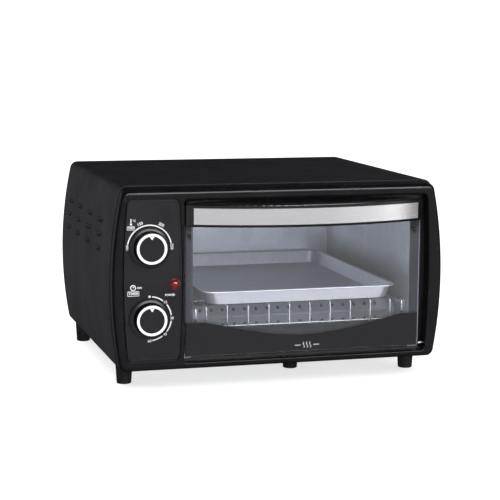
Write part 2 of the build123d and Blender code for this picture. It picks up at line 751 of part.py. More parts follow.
def door_handle_strip():
    """Brushed steel facing let into the front of the handle."""
    radius = handle_circle()[0]
    return bow_plate(radius + STRIP_PROUD, radius - STRIP_THICKNESS + STRIP_PROUD, STRIP_X, STRIP_Z)


def door_handle_screws():
    back = GLASS_Y[1] + BRACKET_SHEET
    screws = []
    for x, z in handle_screw_places():
        shank = rod_y(HANDLE_SCREW_RADIUS, x, (0.2, back), z)
        screws.append(shank + rod_y(2.7, x, (back, back + 2.0), z))
    return screws


def door_bracket_rivets():
    """Rivets that hold the two angles to the glass, flush with its front."""
    back = GLASS_Y[1] + BRACKET_SHEET
    rivets = []
    for x, z in rivet_places():
        shank = rod_y(RIVET_RADIUS, x, (GLASS_Y[0], back), z)
        rivets.append(shank + rod_y(3.0, x, (back, back + 1.0), z))
    return rivets


# ---- rack and tray ----
def wire_rack():
    """Welded wire shelf: a frame, wires from front to back, and a turned-down front."""
    frame_z = GUIDE_TOP + 0.3 + RACK_FRAME_RADIUS
    left, right = RACK_X
    front, back = RACK_Y
    corners = [
        (left, front, RACK_LIP_Z),
        (left, front, frame_z),
        (left, back, frame_z),
        (right, back, frame_z),
        (right, front, frame_z),
        (right, front, RACK_LIP_Z),
    ]
    rack = along_wire(corners, [5, 12, 12, 5], RACK_FRAME_RADIUS)
    for x in (left, right):
        rack += Pos(x, front, RACK_LIP_Z) * Sphere(RACK_FRAME_RADIUS)
    rack += rod_x(RACK_LIP_RADIUS, (left, right), front, RACK_LIP_Z)
    for y in (front + 42.0, 130.0, 206.0):
        rack += rod_x(RACK_FRAME_RADIUS - 0.3, (left, right), y, frame_z)
    wire_z = frame_z + RACK_FRAME_RADIUS + RACK_WIRE_RADIUS - 0.5
    wire_y = front - RACK_LIP_RADIUS - RACK_WIRE_RADIUS + 0.5
    for index in range(RACK_WIRE_COUNT):
        x = DOOR_MIDDLE_X + (index - (RACK_WIRE_COUNT - 1) / 2) * RACK_WIRE_PITCH
        points = [(x, wire_y, RACK_LIP_Z - 1.0), (x, wire_y, wire_z), (x, back + 1.0, wire_z)]
        rack += along_wire(points, [4.0], RACK_WIRE_RADIUS)
    return rack


def tray_section(inset, z):
    wide = TRAY_X[1] - TRAY_X[0] - 2 * inset
    deep = TRAY_Y[1] - TRAY_Y[0] - 2 * inset
    middle = Pos(sum(TRAY_X) / 2, sum(TRAY_Y) / 2, z)
    return middle * RectangleRounded(wide, deep, TRAY_CORNER - inset * 0.6)


def bake_tray():
    """Shallow pan with flared sides and a flat rolled rim."""
    low, high = TRAY_Z
    lip = TRAY_RIM
    foot = lip + TRAY_FLARE
    outside = loft([tray_section(foot, low), tray_section(lip, high)])
    inner_floor = tray_section(foot + TRAY_WALL, low + TRAY_WALL)
    inside = loft([inner_floor, tray_section(lip + TRAY_WALL, high + 0.01)])
    under = high - TRAY_RIM_THICKNESS
    border = extrude(tray_section(0, under), amount=TRAY_RIM_THICKNESS)
    level_edges = border.edges().filter_by(Axis.Z, reverse=True)
    rim = fillet(level_edges, 0.7) - extrude(tray_section(lip + TRAY_WALL, under), amount=TRAY_RIM_THICKNESS)
    return outside - inside + rim - inside


# ---- feet, gland and wiring ----
def foot_places():
    return {
        "foot_front_left": (-FOOT_FRONT[0], FOOT_FRONT[1]),
        "foot_front_right": FOOT_FRONT,
        "foot_front_middle": FOOT_MIDDLE,
        "foot_rear_left": (-FOOT_REAR[0], FOOT_REAR[1]),
        "foot_rear_right": FOOT_REAR,
    }


def foot_top(name):
    """The middle foot meets the bottom plate; the others meet the wrap's lip."""
    return CABINET_BOTTOM + SHEET if name == "foot_front_middle" else CABINET_BOTTOM


def foot(name):
    """Moulded foot that widens upwards, with a deep recess for its screw."""
    x, y = foot_places()[name]
    top = foot_top(name)
    recess_radius, recess_top = FOOT_RECESS
    upright = (Align.CENTER, Align.CENTER, Align.MIN)
    body = Pos(x, y, 0) * Cone(FOOT_BASE_RADIUS, FOOT_TOP_RADIUS, top, align=upright)
    body = fillet(body.edges().sort_by(Axis.Z)[0], 1.2)
    body -= rod_z(recess_radius, x, y, (-1, recess_top))
    return body - rod_z(FOOT_SCREW_RADIUS, x, y, (0, top + 1))


def foot_screws():
    head_top = FOOT_RECESS[1]
    screws = []
    for x, y in foot_places().values():
        shank = rod_z(FOOT_SCREW_RADIUS, x, y, (head_top, CABINET_BOTTOM + 5))
        screws.append(shank + rod_z(3.6, x, y, (head_top - 2.4, head_top)))
    return screws


def cord_gland():
    """Bushing in the back panel that the supply lead would pass through."""
    panel_front = CABINET_BACK - 2 * SHEET
    panel_back = panel_front + SHEET
    gland = rod_y(5.6, GLAND_X, (panel_front - 3, panel_back), GLAND_Z)
    gland += rod_y(7.2, GLAND_X, (panel_front - 3, panel_front), GLAND_Z)
    gland += cone_y((9.0, 7.0), GLAND_X, (panel_back, GLAND_BACK), GLAND_Z)
    return gland - rod_y(GLAND_BORE, GLAND_X, (panel_front - 4, GLAND_BACK + 1), GLAND_Z)


def terminal_block():
    """Ceramic block on the base that joins the supply to the wiring."""
    low = CABINET_BOTTOM + 2 * SHEET
    body = block((-148, -116), (TERMINAL_Y - 9, TERMINAL_Y + 9), (low, low + 13))
    for x in TERMINAL_X:
        body -= rod_z(2.4, x, TERMINAL_Y, (low + 8, low + 14))
    return body


def wiring():
    """Insulated wires from the block to the timer, the thermostat and the lamp."""
    low = CABINET_BOTTOM + 2 * SHEET + 8.0
    tab = TIMER_BACK + 8
    thermostat_tab = 14.5
    left = KNOB_X - 17
    right = KNOB_X + 14
    rear = TERMINAL_Y
    first, second, third = TERMINAL_X
    lower_tab_z = TIMER_Z - 12
    runs = [
        [(first, rear, low), (first, rear, lower_tab_z), (left, rear, lower_tab_z), (left, tab, lower_tab_z)],
        [
            (second, rear, low),
            (second, rear, 130),
            (right, rear, 130),
            (right, 40, 130),
            (right, 40, 138),
            (right, thermostat_tab, 138),
        ],
        [(left, tab, TIMER_Z + 12), (left, 62, TIMER_Z + 12), (left, 62, 138), (left, thermostat_tab, 138)],
        [(third, rear, low), (third, rear, LAMP_Z), (LAMP_X, rear, LAMP_Z), (LAMP_X, 20, LAMP_Z)],
    ]
    return [along_wire(points, [3.0] * (len(points) - 2), WIRE_RADIUS) for points in runs]


# ---- everything ----
def all_parts():
    parts = {
        "cabinet_wrap": cabinet_wrap(),
        "bottom_plate": bottom_plate(),
        "back_panel": back_panel(),
        "back_panel_screws": back_panel_screws(),
        "front_bezel": front_bezel(),
        "control_panel": control_panel(),
        "control_bracket": control_bracket(),
        "control_bracket_screws": control_bracket_screws(),
        "cavity_front_frame": cavity_front_frame(),
        "rack_guide_left": rack_guide(-1),
        "rack_guide_right": rack_guide(1),
        "heater_tubes": heater_tubes(),
        "heater_coils": heater_coils(),
        "heater_end_caps": heater_end_caps(),
        "heat_shield": heat_shield(),
        "door_glass": door_glass(),
        "door_bracket_left": door_bracket(-1),
        "door_bracket_right": door_bracket(1),
        "door_bracket_rivets": door_bracket_rivets(),
        "door_hinge_pin_left": door_hinge_pin(-1),
        "door_hinge_pin_right": door_hinge_pin(1),
        "door_stay_left": door_stay(-1),
        "door_stay_right": door_stay(1),
        "door_handle": door_handle(),
        "door_handle_strip": door_handle_strip(),
        "door_handle_screws": door_handle_screws(),
        "wire_rack": wire_rack(),
        "bake_tray": bake_tray(),
        "thermostat_body": thermostat_body(),
        "thermostat_shaft": control_shaft(TEMPERATURE_Z),
        "temperature_knob": knob(TEMPERATURE_Z),
        "temperature_knob_ring": knob_ring(TEMPERATURE_Z),
        "temperature_knob_pointer": knob_pointer(TEMPERATURE_Z),
        "timer_body": timer_body(),
        "timer_bell": timer_bell(),
        "timer_shaft": control_shaft(TIMER_Z),
        "timer_knob": knob(TIMER_Z),
        "timer_knob_ring": knob_ring(TIMER_Z),
        "timer_knob_pointer": knob_pointer(TIMER_Z),
        "lamp_lens": lamp_lens(),
        "lamp_body": lamp_body(),
        "cord_gland": cord_gland(),
        "terminal_block": terminal_block(),
        "wiring": wiring(),
        "foot_screws": foot_screws(),
    }
    parts.update(cavity_sheets())
    for level, end in heater_places():
        parts[f"heater_guard_{level}_{end}"] = heater_guard(level, end)
    for name in foot_places():
        parts[name] = foot(name)
    return parts


def main():
    os.makedirs("parts", exist_ok=True)
    for name, shape in all_parts().items():
        solids = []
        for piece in shape if isinstance(shape, list) else [shape]:
            solids += piece.solids()
        moved = Pos(0, -OVERALL_MIDDLE_Y, 0) * Compound(children=solids)
        export_step(moved, f"parts/{name}.step")


main()
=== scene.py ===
import json
import math

import bmesh
import bpy
from mathutils import Matrix, Vector


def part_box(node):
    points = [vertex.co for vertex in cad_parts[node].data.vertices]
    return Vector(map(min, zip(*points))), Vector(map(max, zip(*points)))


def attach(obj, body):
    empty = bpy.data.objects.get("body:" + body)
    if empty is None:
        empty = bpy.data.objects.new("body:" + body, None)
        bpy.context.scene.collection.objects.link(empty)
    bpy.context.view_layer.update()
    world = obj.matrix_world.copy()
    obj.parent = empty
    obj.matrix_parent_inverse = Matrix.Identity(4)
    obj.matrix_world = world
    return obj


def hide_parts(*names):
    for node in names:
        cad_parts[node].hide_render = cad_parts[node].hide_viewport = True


# Looks for a countertop toaster oven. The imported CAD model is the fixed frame: its nodes
# keep their shapes and get procedural finishes here, and the printed marks, the enamel on
# the glass and the wound heating wire are added around them. Metres, +Z up, and the door
# faces -Y.
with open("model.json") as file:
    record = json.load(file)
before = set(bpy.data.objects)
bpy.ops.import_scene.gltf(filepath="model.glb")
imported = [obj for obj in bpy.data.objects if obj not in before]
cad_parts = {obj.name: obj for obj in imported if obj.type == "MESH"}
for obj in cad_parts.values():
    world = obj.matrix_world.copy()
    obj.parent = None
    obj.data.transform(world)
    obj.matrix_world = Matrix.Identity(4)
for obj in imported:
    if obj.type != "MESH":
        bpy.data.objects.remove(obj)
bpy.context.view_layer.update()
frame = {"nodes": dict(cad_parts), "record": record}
nodes = frame["nodes"]

MM = 0.001

# ---- places read from the frame ----
PANEL_LIP = 0.6 * MM
PANEL_FACE_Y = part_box("control_panel")[0].y + PANEL_LIP
GLASS_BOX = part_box("door_glass")


def centre_of(node):
    low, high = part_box(node)
    return (low + high) / 2


TEMPERATURE_DIAL = centre_of("temperature_knob")
TIMER_DIAL = centre_of("timer_knob")
LAMP = centre_of("lamp_lens")


# ---- finishes ----
SOCKETS = {
    "base": "Base Color",
    "matt": "Roughness",
    "metallic": "Metallic",
    "level": "Specular IOR Level",
    "coat": "Coat Weight",
    "coat_roughness": "Coat Roughness",
    "transmission": "Transmission Weight",
    "ior": "IOR",
    "anisotropic": "Anisotropic",
    "glow": "Emission Strength",
    "glow_colour": "Emission Color",
}


class Finish:
    """One Principled material and the textures that drive it, scaled in metres."""

    def __init__(self, name, **sockets):
        self.material = bpy.data.materials.new(name)
        self.material.use_nodes = True
        self.tree = self.material.node_tree
        self.shader = self.tree.nodes["Principled BSDF"]
        self.output = self.tree.nodes["Material Output"]
        for socket, value in sockets.items():
            self.shader.inputs[SOCKETS[socket]].default_value = value

    def node(self, kind, **inputs):
        made = self.tree.nodes.new(kind)
        for name, value in inputs.items():
            made.inputs[name].default_value = value
        return made

    def link(self, source, target):
        self.tree.links.new(source, target)

    def place(self, stretch=(1, 1, 1)):
        """Row-frame coordinates, stretched along each axis."""
        coordinates = self.node("ShaderNodeTexCoord")
        mapping = self.node("ShaderNodeMapping", Scale=stretch)
        self.link(coordinates.outputs["Object"], mapping.inputs["Vector"])
        return mapping.outputs["Vector"]

    def noise(self, scale, detail=3.0, stretch=(1, 1, 1)):
        texture = self.node("ShaderNodeTexNoise", Scale=scale, Detail=detail)
        self.link(self.place(stretch), texture.inputs["Vector"])
        return texture.outputs["Fac"]

    def cells(self, scale, output):
        texture = self.node("ShaderNodeTexVoronoi", Scale=scale)
        self.link(self.place(), texture.inputs["Vector"])
        return texture.outputs[output]

    def spread(self, value, low, high, start=0.3, end=0.7):
        """value, which runs from start to end, taken to the range low to high."""
        ends = {"From Min": start, "From Max": end, "To Min": low, "To Max": high}
        remap = self.node("ShaderNodeMapRange", **ends)
        self.link(value, remap.inputs["Value"])
        return remap.outputs["Result"]

    def blend(self, value, first, second, start=0.3, end=0.7):
        """A colour that goes from first to second as value goes from start to end."""
        mix = self.node("ShaderNodeMix")
        mix.data_type = "RGBA"
        mix.inputs["A"].default_value = (*first, 1.0)
        mix.inputs["B"].default_value = (*second, 1.0)
        self.link(self.spread(value, 0.0, 1.0, start, end), mix.inputs["Factor"])
        return mix.outputs["Result"]

    def colour(self, value, first, second, start=0.3, end=0.7):
        self.link(self.blend(value, first, second, start, end), self.shader.inputs["Base Color"])

    def with_painted_shade(self, tint, value, low, high, start, end):
        """tint, darkened by painted shade to a share that goes from low to high as value goes from start to
        end.
        """
        painted_shade_node = self.node("ShaderNodeVectorMath")
        painted_shade_node.operation = "SCALE"
        self.link(tint, painted_shade_node.inputs[0])
        self.link(self.spread(value, low, high, start, end), painted_shade_node.inputs["Scale"])
        return painted_shade_node.outputs["Vector"]

    def axes(self, vector):
        parts = self.node("ShaderNodeSeparateXYZ")
        self.link(vector, parts.inputs["Vector"])
        return parts.outputs

    def roughness(self, value, low, high, start=0.3, end=0.7):
        self.link(self.spread(value, low, high, start, end), self.shader.inputs["Roughness"])

    def bump(self, value, height, strength=1.0):
        """Relief of that height in metres, over any relief that is there already."""
        relief = self.node("ShaderNodeBump", Strength=strength, Distance=height)
        self.link(value, relief.inputs["Height"])
        normal = self.shader.inputs["Normal"]
        if normal.is_linked:
            self.link(normal.links[0].from_socket, relief.inputs["Normal"])
        self.link(relief.outputs["Normal"], normal)

    def let_lamps_through(self):
        """Shadow rays pass, so that lamps light what is behind the glass."""
        path = self.node("ShaderNodeLightPath")
        clear = self.node("ShaderNodeBsdfTransparent")
        mix = self.node("ShaderNodeMixShader")
        self.link(path.outputs["Is Shadow Ray"], mix.inputs["Fac"])
        self.link(self.shader.outputs["BSDF"], mix.inputs[1])
        self.link(clear.outputs["BSDF"], mix.inputs[2])
        self.link(mix.outputs["Shader"], self.output.inputs["Surface"])


def painted_steel(name, dark, light, roughness):
    """Powder coat: a fine orange peel, slightly uneven in gloss."""
    finish = Finish(name, level=0.35)
    finish.colour(finish.noise(45, 4), dark, light)
    finish.roughness(finish.noise(18, 5), roughness - 0.05, roughness + 0.07)
    finish.bump(finish.noise(620, 2), 0.00012, 0.5)
    finish.bump(finish.noise(2600, 1), 0.00003, 0.4)
    return finish.material


def moulding(name, dark, light, roughness, grain=1500, depth=0.00004, level=0.4):
    """Moulded plastic with a fine etched grain."""
    finish = Finish(name, level=level)
    finish.colour(finish.noise(60, 3), dark, light)
    finish.roughness(finish.noise(35, 4), roughness - 0.04, roughness + 0.05)
    finish.bump(finish.noise(grain, 2), depth, 0.5)
    return finish.material


def knob_finish(name):
    """Moulded knob: a satin face with a fine grain, and a rougher side that is painted darker as shade."""
    finish = Finish(name, level=0.22)
    facing = finish.axes(finish.node("ShaderNodeNewGeometry").outputs["Normal"])
    tint = finish.blend(finish.noise(60, 3), (0.0098, 0.0094, 0.0112), (0.0122, 0.0117, 0.0138))
    # painted shade: the side keeps only 0.12 of the face's colour as it turns away from the front
    tint = finish.with_painted_shade(tint, facing["Y"], 1.0, 0.12, -0.85, -0.55)
    finish.link(tint, finish.shader.inputs["Base Color"])
    finish.roughness(facing["Y"], 0.24, 0.38, -0.85, -0.55)
    finish.bump(finish.noise(1600, 2), 0.00002, 0.5)
    return finish.material


def brushed_metal(name, dark, light, roughness, along="x", anisotropic=0.6):
    """Metal with fine scratches that all run one way."""
    stretch = {"x": (0.02, 1, 1), "y": (1, 0.02, 1)}[along]
    finish = Finish(name, metallic=1.0, anisotropic=anisotropic)
    finish.colour(finish.noise(1500, 3, stretch), dark, light)
    finish.roughness(finish.noise(600, 2, stretch), roughness - 0.02, roughness + 0.03)
    finish.bump(finish.noise(2200, 1, stretch), 0.000002, 0.3)
    tangent = finish.node("ShaderNodeCombineXYZ", **{along.upper(): 1.0})
    finish.link(tangent.outputs["Vector"], finish.shader.inputs["Tangent"])
    return finish.material


def plated_sheet(name, dark, light, roughness, cell=130, painted_shades=()):
    """Aluminised or zinc-plated sheet: large faint crystals on slightly uneven metal. Each painted
    shade is an axis, the share of the colour left at its start and end, and those two places."""
    finish = Finish(name, metallic=0.72, level=0.4)
    tint = finish.blend(finish.cells(cell, "Color"), dark, light, 0.0, 1.0)
    if painted_shades:
        place = finish.axes(finish.place())
        # painted shade: each ramp darkens the colour along one axis
        for axis, low, high, start, end in painted_shades:
            tint = finish.with_painted_shade(tint, place[axis], low, high, start, end)
    finish.link(tint, finish.shader.inputs["Base Color"])
    finish.roughness(finish.noise(60, 4), roughness - 0.05, roughness + 0.07)
    finish.bump(finish.noise(16, 2), 0.0012, 0.2)
    return finish.material


def polished(name, dark, light, roughness):
    """Bright plating with a slight unevenness."""
    finish = Finish(name, metallic=1.0)
    finish.colour(finish.noise(260, 3), dark, light)
    finish.roughness(finish.noise(420, 3), roughness * 0.6, roughness * 1.6)
    finish.bump(finish.noise(900, 2), 0.00001, 0.4)
    return finish.material


def bright_paint(name, dark, light):
    """Silver lacquer: mostly matt brightness under a thin gloss."""
    finish = Finish(name, metallic=0.12, coat=0.4, coat_roughness=0.1)
    finish.colour(finish.noise(500, 3), dark, light)
    finish.roughness(finish.noise(900, 2), 0.24, 0.36)
    finish.bump(finish.noise(2600, 2), 0.000004, 0.4)
    return finish.material


def satin_sheet(name, dark, light):
    """Pressed steel with a soft satin coat, with painted shade on its floor and where it faces down."""
    finish = Finish(name, metallic=0.8, level=0.4)
    facing = finish.axes(finish.node("ShaderNodeNewGeometry").outputs["Normal"])
    tint = finish.blend(finish.noise(220, 4), dark, light)
    # painted shade: darker where the sheet faces down, and on its upward-facing floor
    tint = finish.with_painted_shade(tint, facing["Z"], 0.55, 1.0, -0.4, 0.13)
    tint = finish.with_painted_shade(tint, facing["Z"], 1.0, 0.74, 0.6, 0.9)
    finish.link(tint, finish.shader.inputs["Base Color"])
    finish.roughness(finish.noise(90, 4), 0.3, 0.4)
    finish.bump(finish.noise(30, 2), 0.0003, 0.15)
    return finish.material


def ink(name, dark, light):
    """Screen-printed ink, a little uneven at its edges."""
    finish = Finish(name, matt=0.55, level=0.3)
    finish.colour(finish.noise(900, 4), dark, light, 0.35, 0.6)
    finish.bump(finish.noise(3000, 2), 0.00001, 0.5)
    return finish.material


def frit(name):
    """Black enamel fired on to the glass."""
    finish = Finish(name, level=0.05)
    finish.colour(finish.noise(300, 4), (0.004, 0.0038, 0.0052), (0.0065, 0.006, 0.0082))
    finish.roughness(finish.noise(60, 3), 0.36, 0.46)
    finish.bump(finish.noise(90, 2), 0.00001, 0.2)
    return finish.material


def door_glass_finish(name):
    """Clear toughened glass with faint wiping marks."""
    finish = Finish(name, base=(0.955, 0.975, 1.0, 1.0), transmission=1.0, ior=1.5)
    finish.roughness(finish.noise(14, 5, (1, 1, 0.3)), 0.0, 0.02, 0.5, 0.9)
    finish.let_lamps_through()
    return finish.material


def quartz_finish(name):
    """Frosted quartz tube."""
    finish = Finish(name, base=(0.92, 0.92, 0.9, 1.0), transmission=0.85, ior=1.45)
    finish.roughness(finish.noise(500, 3), 0.25, 0.45)
    finish.let_lamps_through()
    return finish.material


def ceramic_finish(name):
    finish = Finish(name, matt=0.6)
    finish.colour(finish.noise(400, 5), (0.7, 0.67, 0.6), (0.84, 0.82, 0.77))
    finish.bump(finish.noise(1200, 3), 0.00006, 0.6)
    return finish.material


def heating_wire_finish(name):
    finish = Finish(name, matt=0.5, metallic=0.8)
    finish.colour(finish.noise(700, 4), (0.06, 0.05, 0.05), (0.2, 0.16, 0.13))
    finish.bump(finish.noise(2500, 2), 0.00003, 0.5)
    return finish.material


def lens_finish(name):
    """Red translucent plastic with a polished face."""
    finish = Finish(name, transmission=0.35, ior=1.49, coat=0.5)
    finish.colour(finish.noise(500, 3), (0.12, 0.003, 0.006), (0.2, 0.006, 0.009))
    finish.roughness(finish.noise(900, 2), 0.08, 0.2)
    return finish.material


def rubber_finish(name):
    finish = Finish(name, level=0.2)
    finish.colour(finish.noise(220, 4), (0.004, 0.004, 0.0046), (0.009, 0.009, 0.0098))
    finish.roughness(finish.noise(300, 3), 0.55, 0.72)
    finish.bump(finish.noise(1800, 2), 0.00005, 0.6)
    return finish.material


def sleeve_finish(name):
    """Woven glass-fibre sleeve on the wires."""
    finish = Finish(name, matt=0.7)
    finish.colour(finish.noise(900, 3), (0.6, 0.58, 0.54), (0.8, 0.79, 0.76))
    finish.bump(finish.cells(2600, "Distance"), 0.00008, 0.7)
    return finish.material


FINISHES = {
    "black_painted_steel": painted_steel(
        "black_paint", (0.0066, 0.0058, 0.0086), (0.0089, 0.0081, 0.0112), 0.4
    ),
    "black_moulding": moulding(
        "black_moulding", (0.0022, 0.0021, 0.0026), (0.0036, 0.0034, 0.0042), 0.24, level=0.24
    ),
    "black_control_panel": moulding(
        "control_panel_face", (0.0052, 0.0048, 0.0066), (0.007, 0.0065, 0.0087), 0.3, 2200, 0.00003, 0.3
    ),
    "gloss_black_moulding": moulding(
        "gloss_black", (0.003, 0.003, 0.0033), (0.005, 0.005, 0.0054), 0.12, 500, 0.000004, 0.5
    ),
    "knob_plastic": knob_finish("knob_plastic"),
    "knob_ring": bright_paint("ring_silver", (0.86, 0.86, 0.87), (0.93, 0.93, 0.94)),
    "white_mark": ink("white_ink", (0.6, 0.6, 0.6), (0.78, 0.78, 0.78)),
    "brushed_strip": brushed_metal("brushed_strip", (0.93, 0.92, 0.935), (0.98, 0.97, 0.98), 0.19),
    "door_glass": door_glass_finish("door_glass"),
    "door_steel": painted_steel("coated_steel", (0.22, 0.226, 0.262), (0.26, 0.268, 0.306), 0.4),
    "black_front_frame": painted_steel(
        "front_frame_enamel", (0.003, 0.003, 0.0034), (0.005, 0.005, 0.0055), 0.3
    ),
    "cavity_lining": plated_sheet("aluminised_lining", (0.59, 0.63, 0.695), (0.665, 0.705, 0.775), 0.36, 70),
    "zinc_plated_steel": plated_sheet("zinc_plate", (0.42, 0.44, 0.46), (0.56, 0.58, 0.6), 0.4, 160),
    "steel_fasteners": brushed_metal("bright_steel", (0.5, 0.5, 0.51), (0.68, 0.68, 0.69), 0.3, "y", 0.2),
    "rack_chrome": polished("rack_plating", (0.5, 0.52, 0.55), (0.62, 0.64, 0.67), 0.22),
    "tray_metal": satin_sheet("satin_tray", (0.83, 0.84, 0.93), (0.92, 0.93, 1.0)),
    "quartz": quartz_finish("frosted_quartz"),
    "heating_wire": heating_wire_finish("heating_wire"),
    "ceramic": ceramic_finish("ceramic"),
    "brass_bell": brushed_metal("brass_bell", (0.6, 0.44, 0.18), (0.75, 0.58, 0.28), 0.3, "x", 0.2),
    "red_lens": lens_finish("red_lens"),
    "lamp_holder": moulding("lamp_holder", (0.01, 0.01, 0.01), (0.02, 0.02, 0.02), 0.5),
    "gland_plastic": moulding("gland_nylon", (0.01, 0.01, 0.01), (0.016, 0.016, 0.016), 0.45),
    "wire_insulation": sleeve_finish("wire_sleeve"),
    "foot_rubber": rubber_finish("foot_rubber"),
}
FRIT = frit("black_frit")
CAVITY_REAR_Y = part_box("cavity_right_wall")[1].y
# Two cavity sheets have a finish of their own in place of their slot's, both with painted shade.
BY_NODE = {
    # Painted shade: the floor is a dark grey for the shade under the door's black band.
    "cavity_floor": plated_sheet("floor_in_painted_shade", (0.1, 0.1, 0.112), (0.13, 0.13, 0.145), 0.45, 70),
    # Painted shadow of the tray: darker below 104 to 126 mm; and painted shade towards the rear corner.
    "cavity_right_wall": plated_sheet(
        "lining_with_painted_shade", (0.74, 0.78, 0.85), (0.84, 0.88, 0.94), 0.36, 70,
        (("Z", 0.52, 1.0, 0.104, 0.126), ("Y", 1.0, 0.5, CAVITY_REAR_Y - 0.05, CAVITY_REAR_Y - 0.006)),
    ),
}


def finish_cad_nodes():
    for subpart in frame["record"]["subparts"]:
        finish = BY_NODE.get(subpart["node"], FINISHES[subpart["material_slot"]])
        for slot in nodes[subpart["node"]].material_slots:
            slot.material = finish


# ---- meshes ----
def on_circle(centre, radius, degrees):
    angle = math.radians(degrees)
    return (centre[0] + radius * math.cos(angle), centre[1] + radius * math.sin(angle))


def add_piece(name, mesh, body, material):
    piece = bpy.data.objects.new(name, mesh)
    bpy.context.scene.collection.objects.link(piece)
    mesh.materials.clear()
    mesh.materials.append(material)
    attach(piece, body)
    return piece


class Print:
    """Flat ink shapes drawn in x and z on an upright face, gathered into one thin mesh."""

    def __init__(self, front, back):
        self.shapes = bmesh.new()
        self.front = front
        self.back = back

    def add(self, x, z, y):
        return self.shapes.verts.new((x, y, z))

    def band(self, upper, lower, closed=False):
        """The strip between two rows of points, as a closed solid."""
        count = len(upper)
        corners = [
            [self.add(*row[i], y) for i in range(count)]
            for row, y in ((upper, self.front), (lower, self.front), (lower, self.back), (upper, self.back))
        ]
        last = count if closed else count - 1
        for i in range(last):
            j = (i + 1) % count
            for side in range(4):
                near, far = corners[side], corners[(side + 1) % 4]
                self.shapes.faces.new((near[i], far[i], far[j], near[j]))
        if not closed:
            self.shapes.faces.new([row[0] for row in reversed(corners)])
            self.shapes.faces.new([row[-1] for row in corners])

    def arc(self, centre, radius, width, start, end, steps=48):
        """Part of a circle; angles in degrees, anticlockwise from +X."""
        angles = [start + (end - start) * i / steps for i in range(steps + 1)]
        outer = [on_circle(centre, radius + width / 2, angle) for angle in angles]
        inner = [on_circle(centre, radius - width / 2, angle) for angle in angles]
        if abs(end - start) >= 360:
            self.band(outer[:-1], inner[:-1], closed=True)
        else:
            self.band(outer, inner)

    def line(self, start, end, width):
        direction = (Vector(end) - Vector(start)).normalized() * (width / 2)
        side = Vector((-direction.y, direction.x))
        ends = (Vector(start), Vector(end))
        self.band([tuple(point + side) for point in ends], [tuple(point - side) for point in ends])

    def polygon(self, points):
        front = [self.add(x, z, self.front) for x, z in points]
        back = [self.add(x, z, self.back) for x, z in points]
        self.shapes.faces.new(front)
        self.shapes.faces.new(list(reversed(back)))
        for i in range(len(points)):
            j = (i + 1) % len(points)
            self.shapes.faces.new((front[i], back[i], back[j], front[j]))

    def disc(self, centre, radius, sides=20):
        self.polygon([on_circle(centre, radius, 360 * i / sides) for i in range(sides)])

    def text(self, words, centre, height, turn=0.0):
        """Words centred on a point; turn is in degrees, anticlockwise as seen from the front."""
        curve = bpy.data.curves.new("label", "FONT")
        curve.body = words
        curve.size = height / 0.72
        curve.align_x = "CENTER"
        curve.align_y = "CENTER"
        curve.extrude = (self.back - self.front) / 2
        curve.resolution_u = 3
        curve.offset = height * 0.02
        holder = bpy.data.objects.new("label", curve)
        mesh = bpy.data.meshes.new_from_object(holder)
        middle = Vector((centre[0], (self.front + self.back) / 2, centre[1]))
        upright = Matrix.Rotation(math.radians(90), 4, "X")
        mesh.transform(Matrix.Translation(middle) @ upright @ Matrix.Rotation(math.radians(turn), 4, "Z"))
        self.shapes.from_mesh(mesh)
        bpy.data.objects.remove(holder)
        bpy.data.curves.remove(curve)
        bpy.data.meshes.remove(mesh)

    def make(self, name, body, slot_name, material):
        bmesh.ops.recalc_face_normals(self.shapes, faces=self.shapes.faces)
        mesh = bpy.data.meshes.new(name)
        self.shapes.to_mesh(mesh)
        self.shapes.free()
        add_piece(name, mesh, body, material)


# ---- prints on the control panel ----
DIAL_RADIUS = 22.7 * MM
DIAL_STROKE = 1.25 * MM
LABEL_HEIGHT = 3.0 * MM
BOX_STROKE = 0.45 * MM
INK_THICKNESS = 0.06 * MM


def around(dial, radius, angle):
    return on_circle((dial.x, dial.z), radius, angle)


def panel_print():
    return Print(PANEL_FACE_Y - INK_THICKNESS, PANEL_FACE_Y)


def named_box(marks, words, centre, size):
    """A word in an outlined box with rounded corners."""
    x, z = centre
    wide, tall = size
    stroke = BOX_STROKE
    for level in (z - tall / 2, z + tall / 2):
        marks.line((x - wide / 2 + stroke, level), (x + wide / 2 - stroke, level), stroke)
    for side in (x - wide / 2, x + wide / 2):
        marks.line((side, z - tall / 2 + stroke), (side, z + tall / 2 - stroke), stroke)
    for sx in (-1, 1):
        for sz in (-1, 1):
            corner = (x + sx * (wide / 2 - stroke), z + sz * (tall / 2 - stroke))
            start = {(1, 1): 0, (-1, 1): 90, (-1, -1): 180, (1, -1): 270}[(sx, sz)]
            marks.arc(corner, stroke, stroke, start, start + 90, 6)
    marks.text(words, centre, tall * 0.6)


def temperature_scale():
    """A half circle over the upper dial, with its numbers and a thermometer."""
    marks = panel_print()
    dial = TEMPERATURE_DIAL
    marks.arc((dial.x, dial.z), DIAL_RADIUS, DIAL_STROKE, 10, 170)
    for angle, words, reach in ((179, "100", 0.4), (112, "150", 3.3), (62, "200", 3.3), (1, "250", 0.4)):
        marks.text(words, around(dial, DIAL_RADIUS + reach * MM, angle), LABEL_HEIGHT, angle - 90)
    stem_x = dial.x - 19.0 * MM
    bulb_z = dial.z + 24.2 * MM
    marks.disc((stem_x, bulb_z), 1.2 * MM)
    marks.line((stem_x, bulb_z), (stem_x, bulb_z + 5.4 * MM), 1.0 * MM)
    marks.text("°C", (stem_x + 3.3 * MM, bulb_z + 3.2 * MM), 2.3 * MM)
    named_box(marks, "TEMP", (stem_x - 0.3 * MM, bulb_z - 4.1 * MM), (7.4 * MM, 3.5 * MM))
    marks.make("temperature_scale", "oven", "white_mark", FINISHES["white_mark"])


